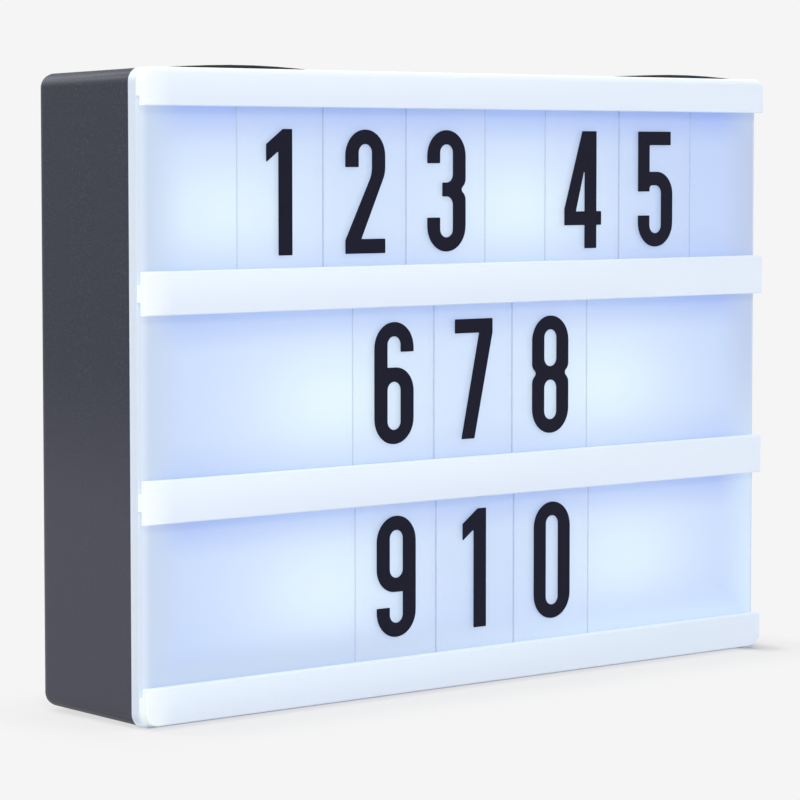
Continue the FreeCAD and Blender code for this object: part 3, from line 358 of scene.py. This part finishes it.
# 1 on the skirt and the rim of the moulding, 0 on the plate inside them
def rimMask(tree, axes, low, high):
    fromMiddle = maths(tree, "ABSOLUTE", maths(tree, "SUBTRACT", axes["Z"], (high.z + low.z) / 2))
    outZ = maths(tree, "SUBTRACT", fromMiddle, (high.z - low.z) / 2)
    outX = maths(tree, "SUBTRACT", maths(tree, "ABSOLUTE", axes["X"]), (high.x - low.x) / 2)
    out = maths(tree, "MAXIMUM", outX, outZ)
    return fadeOver(tree, out, (-plateLook["rimWidth"], -plateLook["rimFull"]))


def opalPlate():
    low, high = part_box("front_panel")
    material, tree, shader, coords = newMaterial("opalPolystyrenePlate", {
        "Roughness": plateLook["roughness"], "IOR": plateLook["ior"], "Emission Strength": 1.0})
    axes = splitAxes(tree, coords)
    rim = rimMask(tree, axes, low, high)
    base = mixColours(tree, rim, toLinear(plateLook["body"]), toLinear(plateLook["rim"]))
    tree.links.new(base, shader.inputs["Base Color"])
    pool = mixColours(tree, lampGlow(tree, axes), toLinear(plateLook["dim"]), toLinear(plateLook["full"]))
    pool = paleEnds(tree, axes, low, high, pool)
    # A painted line of light along the back edge of the skirt, where it meets the case
    seam = smoothStep(tree, axes["Y"], high.y - plateLook["seamWidth"] * mm, high.y)
    rimGlow = mixColours(tree, seam, toLinear(plateLook["rimGlow"]), toLinear(plateLook["seam"]))
    tree.links.new(mixColours(tree, rim, pool, rimGlow), shader.inputs["Emission Color"])
    addGrain(tree, shader, coords, plateLook["grain"])
    return material


# Card rails: the same opal polystyrene, thicker, so less of the light comes through. The left ends take the
# key light through the open end and look nearly white; the glow fades to the right and down each rail.
railLook = {
    "body": "#E7EFF7", "low": "#303C59", "high": "#556373",
    "right": "#3F4C63", "rightFade": (-20.0, 130.0),
    "leftEnd": "#737665", "leftFade": (-137.0, -150.0),
    # painted highlight: a lighter line along the top edge of the top rail
    "topEdgeHighlight": "#7C7C76", "topHighlightFade": (-2.6, -0.3),    # below the top of the top rail
    "ior": 1.59, "roughness": 0.38, "grain": (0.6, 0.006),
}


def opalRail():
    material, tree, shader, coords = newMaterial("opalPolystyreneRail", {
        "Base Color": toLinear(railLook["body"]), "Roughness": railLook["roughness"],
        "IOR": railLook["ior"], "Emission Strength": 1.0})
    axes = splitAxes(tree, coords)
    heights = rowHeights()
    rise = smoothStep(tree, heightInRow(tree, axes, heights["railFoot"]), 0.0, heights["rail"])
    glow = mixColours(tree, rise, toLinear(railLook["low"]), toLinear(railLook["high"]))
    right = fadeOver(tree, axes["X"], railLook["rightFade"])
    glow = mixColours(tree, right, glow, toLinear(railLook["right"]))
    leftEnd = fadeOver(tree, axes["X"], railLook["leftFade"])
    glow = mixColours(tree, leftEnd, glow, toLinear(railLook["leftEnd"]))
    # Painted highlight along the top edge of the top rail
    fromTop = maths(tree, "SUBTRACT", axes["Z"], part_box("top_rail")[1].z)
    topEdgeHighlight = fadeOver(tree, fromTop, railLook["topHighlightFade"])
    glow = mixColours(tree, topEdgeHighlight, glow, toLinear(railLook["topEdgeHighlight"]))
    tree.links.new(glow, shader.inputs["Emission Color"])
    addGrain(tree, shader, coords, railLook["grain"])
    return material


# Case: charcoal ABS from a spark-eroded mould, matt with a fine grain. It is a shade lighter towards its
# foot by painted light from the floor, and dark where its front edge runs into the joint. The flecks are
# drawn coarser than the real grain.
caseLook = {
    # the lighter lower tone is painted light from the floor, faded in below fade
    "upper": "#1D2133", "lower": "#3A3B4A", "fade": (60.0, 130.0),
    "fleck": "#4E505E", "fleckSize": 0.5, "fleckShare": 0.55, "fleckRange": (0.5, 0.8),
    "joint": "#17181C", "jointFade": (0.28, 0.7),    # behind the front edge
    "ior": 1.54, "roughness": 0.5, "sheen": 0.32, "grain": (0.35, 0.02), "grainDetail": 3.0,
}


def erodedAbs():
    material, tree, shader, coords = newMaterial("sparkErodedAbs", {
        "Roughness": caseLook["roughness"], "IOR": caseLook["ior"],
        "Specular IOR Level": caseLook["sheen"]})
    addGrain(tree, shader, coords, caseLook["grain"], caseLook["grainDetail"])
    axes = splitAxes(tree, coords)
    # Painted light from the floor: the case turns lighter towards its foot
    rise = fadeOver(tree, axes["Z"], caseLook["fade"])
    tone = mixColours(tree, rise, toLinear(caseLook["lower"]), toLinear(caseLook["upper"]))
    flecks = smoothStep(tree, addNoise(tree, coords, caseLook["fleckSize"]), *caseLook["fleckRange"])
    share = maths(tree, "MULTIPLY", flecks, caseLook["fleckShare"])
    tone = mixColours(tree, share, tone, toLinear(caseLook["fleck"]))
    fromFront = maths(tree, "SUBTRACT", axes["Y"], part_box("rear_case")[0].y)
    joint = fadeOver(tree, fromFront, caseLook["jointFade"])
    tone = mixColours(tree, joint, toLinear(caseLook["joint"]), tone)
    tree.links.new(tone, shader.inputs["Base Color"])
    return material


# Cards: clear extruded polyester film with a glossy face. The cut edges that look to the left catch the
# light and are milky; edgeTurn is how far a face looks that way, from not at all milky to fully.
cardLook = {
    "film": "#EEF4FF", "faceCover": 0.07, "edge": "#BFCBDD", "edgeCover": 0.75, "edgeTurn": (-0.3, -0.8),
    "ior": 1.57, "roughness": 0.12,
}


def polyesterFilm():
    material, tree, shader, coords = newMaterial("polyesterFilm", {
        "Roughness": cardLook["roughness"], "IOR": cardLook["ior"]})
    normal = addNode(tree, "ShaderNodeNewGeometry").outputs["Normal"]
    edge = smoothStep(tree, splitAxes(tree, normal)["X"], *cardLook["edgeTurn"])
    colour = mixColours(tree, edge, toLinear(cardLook["film"]), toLinear(cardLook["edge"]))
    tree.links.new(colour, shader.inputs["Base Color"])
    span = cardLook["edgeCover"] - cardLook["faceCover"]
    cover = maths(tree, "ADD", maths(tree, "MULTIPLY", edge, span), cardLook["faceCover"])
    tree.links.new(cover, shader.inputs["Alpha"])
    return material


# Finishes of the small parts. Each is uneven by a faint lighter tone that follows its grain.
plainFinishes = {
    # Compression-moulded rubber of the feet: nearly black, quite matt
    "mouldedRubber": {"colour": "#232324", "roughness": 0.85, "ior": 1.52, "grain": (0.5, 0.05)},
    # Zinc-plated screws: bright grey with soft highlights
    "zincPlatedSteel": {"colour": "#B9BBBD", "metal": 1.0, "roughness": 0.35, "grain": (0.3, 0.01)},
    # Die-cut white sheet behind the lamps: flat, without gloss
    "whiteReflectorSheet": {"colour": "#F0F0EE", "roughness": 0.7, "ior": 1.5, "grain": (0.8, 0.01)},
    # Circuit strips under white solder mask: smooth, with a lacquer gloss
    "whiteSolderMask": {"colour": "#E9ECE6", "roughness": 0.3, "ior": 1.55, "grain": (1.0, 0.004)},
    # Cast phosphor lens of the lamps: yellow when off, glowing here
    "phosphorLens": {"colour": "#F3E9A6", "roughness": 0.2, "ior": 1.5, "grain": (0.3, 0.004), "glow": 1.5},
    # Fired resistor chips: black and glassy
    "thickFilmResistor": {"colour": "#16171A", "roughness": 0.3, "ior": 1.6, "grain": (0.2, 0.004)},
    # Nickel-plated spring steel of springs and contacts: warm grey, sharp highlights
    "nickelSpringSteel": {"colour": "#C9C6BE", "metal": 1.0, "roughness": 0.28, "grain": (0.2, 0.006)},
    # Moulded nylon of switch body and inlet: black, satin
    "blackNylon": {"colour": "#1B1B1D", "roughness": 0.45, "ior": 1.53, "grain": (0.3, 0.01)},
    # Moulded acetal of the switch knob: black, a little glossier than the nylon
    "blackAcetal": {"colour": "#222326", "roughness": 0.35, "ior": 1.48, "grain": (0.3, 0.008)},
    # Extruded vinyl of the leads: red, satin
    "redVinylJacket": {"colour": "#A32622", "roughness": 0.4, "ior": 1.53, "grain": (0.4, 0.01)},
}
plainUnevenness = 1.15


def plainFinish(name):
    look = plainFinishes[name]
    values = {"Metallic": look.get("metal", 0.0), "Roughness": look["roughness"]}
    if "ior" in look:
        values["IOR"] = look["ior"]
    if "glow" in look:
        values["Emission Color"] = toLinear("#FFFFFF")
        values["Emission Strength"] = look["glow"]
    material, tree, shader, coords = newMaterial(name, values)
    height = addGrain(tree, shader, coords, look["grain"])
    tone = toLinear(look["colour"])
    colour = mixColours(tree, height, tone, lighten(tone, plainUnevenness))
    tree.links.new(colour, shader.inputs["Base Color"])
    return material


# Cells: plain printed sleeve on a steel can, two tones along the cell, bare steel at the ends
cellLook = {
    "sleeve": "#2E6E5A", "band": "#C7CCCB", "steel": "#B7B8BA", "metal": 0.6, "roughness": 0.3,
    "bandFade": (-12.0, -11.7), "bareFade": (-1.2, -1.0),    # from the end of the cells
    "grain": (0.5, 0.004),
}


def sleevedCell():
    low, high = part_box("batteries")
    material, tree, shader, coords = newMaterial("printedCellSleeve", {
        "Roughness": cellLook["roughness"], "Metallic": cellLook["metal"]})
    along = maths(tree, "SUBTRACT", splitAxes(tree, coords)["X"], (high.x + low.x) / 2)
    fromEnd = maths(tree, "SUBTRACT", maths(tree, "ABSOLUTE", along), (high.x - low.x) / 2)
    band = fadeOver(tree, fromEnd, cellLook["bandFade"])
    bare = fadeOver(tree, fromEnd, cellLook["bareFade"])
    colour = mixColours(tree, band, toLinear(cellLook["sleeve"]), toLinear(cellLook["band"]))
    colour = mixColours(tree, bare, colour, toLinear(cellLook["steel"]))
    tree.links.new(colour, shader.inputs["Base Color"])
    addGrain(tree, shader, coords, cellLook["grain"])
    return material


finishes = {
    "opal_panel": opalPlate(), "opal_rail": opalRail(), "case_plastic": erodedAbs(),
    "card_film": polyesterFilm(), "foot_rubber": plainFinish("mouldedRubber"),
    "screw_steel": plainFinish("zincPlatedSteel"), "reflector_white": plainFinish("whiteReflectorSheet"),
    "circuit_board": plainFinish("whiteSolderMask"), "led_package": plainFinish("phosphorLens"),
    "resistor_ceramic": plainFinish("thickFilmResistor"), "cell_can": sleevedCell(),
    "contact_steel": plainFinish("nickelSpringSteel"), "switch_plastic": plainFinish("blackNylon"),
    "knob_plastic": plainFinish("blackAcetal"), "lead_jacket": plainFinish("redVinylJacket"),
}
for part in frame["record"]["subparts"]:
    mesh = nodes[part["node"]].data
    mesh.materials.clear()
    mesh.materials.append(finishes[part["material_slot"]])
print("finishes set:", len(finishes))

# Digits on the cards: condensed bold figures in black ink on the front of the film, in millimetres.
# crisp and tight are the roundings of outer and inner corners, bowl and counter those of the round parts.
figure = {
    "height": 43.3, "width": 18.5, "stem": 6.2, "bar": 5.1, "bowl": 9.2, "counter": 3.0, "crisp": 0.3,
    "tight": 0.2, "waistLift": 0.5, "waistBar": 2.5, "notch": 2.4, "notchRounding": 3.4, "notchTip": 1.2,
}
inkRows = {
    "upper": {"figures": "12345", "lift": 8.5},
    "middle": {"figures": "678", "lift": 10.5},
    "lower": {"figures": "910", "lift": 10.2},
}


def ring(low, high):
    inner, outer = figure["stem"], figure["width"] - figure["stem"]
    rounding = figure["counter"]
    corners = ((inner, low), (outer, low), (outer, high), (inner, high))
    return [(x, y, rounding) for x, y in corners]


def turned(outline):
    return [(figure["width"] - x, figure["height"] - y, rounding) for x, y, rounding in outline]


# Each outline is a list of corners (x, y, rounding), the holes after the outer one
def figureOutlines(mark):
    w, h, s, b = figure["width"], figure["height"], figure["stem"], figure["bar"]
    bowl, counter, crisp, tight = figure["bowl"], figure["counter"], figure["crisp"], figure["tight"]
    notch, notchRounding, notchTip = figure["notch"], figure["notchRounding"], figure["notchTip"]
    inner = w - s
    waist = h / 2 + figure["waistLift"]
    under, over = waist - figure["waistBar"], waist + figure["waistBar"]
    if mark == "0":
        return [[(0, 0, bowl), (w, 0, bowl), (w, h, bowl), (0, h, bowl)], ring(b, h - b)]
    if mark == "1":
        return [[(8.2, 0, crisp), (8.2 + s, 0, crisp), (8.2 + s, h, crisp), (10.2, h, 0.5),
                 (2.8, h - 5.2, crisp), (2.8, h - 11.4, crisp), (8.2, h - 7.6, crisp)]]
    if mark == "2":
        return [[(0, 30.2, crisp), (0, h, bowl), (w, h, bowl), (w, 28, 10), (7.4, b, tight), (w, b, crisp),
                 (w, 0, crisp), (0, 0, crisp), (0, 4.8, 2), (inner, 27.8, 10), (inner, h - b, counter),
                 (s, h - b, counter), (s, 30.2, crisp)]]
    if mark == "3":
        return [[(0, 31.5, crisp), (0, h, bowl), (w, h, bowl), (w, waist + notch, notchRounding),
                 (w - 2.4, waist, notchTip), (w, waist - notch, notchRounding), (w, 0, bowl), (0, 0, bowl),
                 (0, 12.2, crisp), (s, 12.2, crisp), (s, b, counter), (inner, b, counter),
                 (inner, under, counter), (7.2, under, crisp), (7.2, over, crisp), (inner, over, counter),
                 (inner, h - b, counter), (s, h - b, counter), (s, 31.5, crisp)]]
    if mark == "4":
        return [[(10.2, 0, crisp), (10.2 + s, 0, crisp), (10.2 + s, 8.6, tight), (w + 0.4, 8.6, crisp),
                 (w + 0.4, 13.7, crisp), (10.2 + s, 13.7, tight), (10.2 + s, h, crisp), (9.0, h, crisp),
                 (-0.2, 14.6, crisp), (-0.2, 8.6, crisp), (10.2, 8.6, tight)],
                [(5.8, 13.7, tight), (10.2, 13.7, tight), (10.2, 29.4, tight)]]
    if mark == "5":
        return [[(0, h, crisp), (w - 1, h, crisp), (w - 1, h - b, crisp), (s, h - b, tight),
                 (s, 28.2, tight), (w, 28.2, 8.4), (w, 0, bowl), (0, 0, bowl), (0, 11.8, crisp),
                 (s, 11.8, crisp), (s, b, counter), (inner, b, counter), (inner, 23.1, counter),
                 (s, 23.1, 1.4), (s, 20.8, crisp), (0, 20.8, crisp)]]
    if mark in "69":
        six = [[(inner, 32.6, crisp), (w, 32.6, crisp), (w, h, bowl), (0, h, bowl), (0, 0, bowl),
                (w, 0, bowl), (w, 27.2, 8.4), (s, 27.2, tight), (s, h - b, counter),
                (inner, h - b, counter)], ring(b, 22.1)]
        return six if mark == "6" else [turned(outline) for outline in six]
    if mark == "7":
        return [[(0, h, crisp), (w, h, crisp), (w, h - b, 0.6), (9.6, 0, crisp), (3.2, 0, crisp),
                 (11.8, h - b, tight), (0, h - b, crisp)]]
    side = [(w, 0, bowl), (w, waist - notch, notchRounding), (w - 2.2, waist, notchTip),
            (w, waist + notch, notchRounding), (w, h, bowl)]
    left = [(w - x, y, rounding) for x, y, rounding in reversed(side)]
    return [side + left, ring(b, under), ring(over, h - b)]


# One closed curve with each corner rounded by its own radius
def addOutline(curve, corners):
    points = []
    count = len(corners)
    for index, (x, y, rounding) in enumerate(corners):
        corner = Vector((x, y))
        before = (Vector(corners[index - 1][:2]) - corner).normalized()
        after = (Vector(corners[(index + 1) % count][:2]) - corner).normalized()
        half = before.angle(after) / 2
        reach = rounding / math.tan(half)
        grip = rounding * 4 / 3 * math.tan((math.pi / 2 - half) / 2)
        points.append((corner + before * reach, None, corner + before * (reach - grip)))
        points.append((corner + after * reach, corner + after * (reach - grip), None))
    spline = curve.splines.new("BEZIER")
    spline.bezier_points.add(len(points) - 1)
    spline.use_cyclic_u = True
    for point, (place, left, right) in zip(spline.bezier_points, points):
        point.handle_left_type = point.handle_right_type = "FREE"
        point.co = (*place, 0)
        point.handle_left = (*(left or place), 0)
        point.handle_right = (*(right or place), 0)


# Ink: matt solvent print, near black with a blue cast, faintly uneven where it lies thicker
ink = {
    "colour": "#111124", "unevenness": 1.25, "ior": 1.5, "roughness": 0.5, "sheen": 0.12,
    "grain": (1.2, 0.003), "thickness": 0.05, "curveSteps": 10, "mergeWithin": 0.001,
}


def flatShape(name, outlines):
    curve = bpy.data.curves.new(name, "CURVE")
    curve.dimensions = "2D"
    curve.fill_mode = "BOTH"
    curve.resolution_u = ink["curveSteps"]
    curve.extrude = ink["thickness"] / 2
    for corners in outlines:
        addOutline(curve, corners)
    holder = bpy.data.objects.new(name + "_curve", curve)
    bpy.context.scene.collection.objects.link(holder)
    bpy.context.view_layer.update()
    mesh = bpy.data.meshes.new_from_object(holder.evaluated_get(bpy.context.evaluated_depsgraph_get()))
    bpy.data.objects.remove(holder)
    mesh.name = name
    shape = bmesh.new()
    shape.from_mesh(mesh)
    bmesh.ops.remove_doubles(shape, verts=shape.verts, dist=ink["mergeWithin"])
    bmesh.ops.recalc_face_normals(shape, faces=shape.faces)
    shape.to_mesh(mesh)
    shape.free()
    return mesh


def printInk():
    material, tree, shader, coords = newMaterial("blackScreenInk", {
        "Roughness": ink["roughness"], "IOR": ink["ior"], "Specular IOR Level": ink["sheen"]})
    cover = addGrain(tree, shader, coords, ink["grain"])
    tone = toLinear(ink["colour"])
    colour = mixColours(tree, cover, tone, lighten(tone, ink["unevenness"]))
    tree.links.new(colour, shader.inputs["Base Color"])
    return material


# The figure stands in the middle of its card, with its back on the front of the film
def addFigure(card, mark, lift, material):
    low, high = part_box(card)
    name = card + "_figure"
    mesh = flatShape(name, figureOutlines(mark))
    left = (low.x + high.x) / 2 - figure["width"] / 2 * mm
    front = low.y - ink["thickness"] / 2 * mm
    stand = Matrix.Translation((left, front, low.z + lift * mm)) @ Matrix.Rotation(math.pi / 2, 4, "X")
    mesh.transform(stand @ Matrix.Scale(mm, 4))
    mesh.materials.clear()
    mesh.materials.append(material)
    piece = bpy.data.objects.new(name, mesh)
    bpy.context.scene.collection.objects.link(piece)
    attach(piece, card)


inkMaterial = printInk()
for row, look in inkRows.items():
    for number, mark in enumerate(look["figures"], start=1):
        addFigure("%s_card_%d" % (row, number), mark, look["lift"], inkMaterial)
print("figures printed")
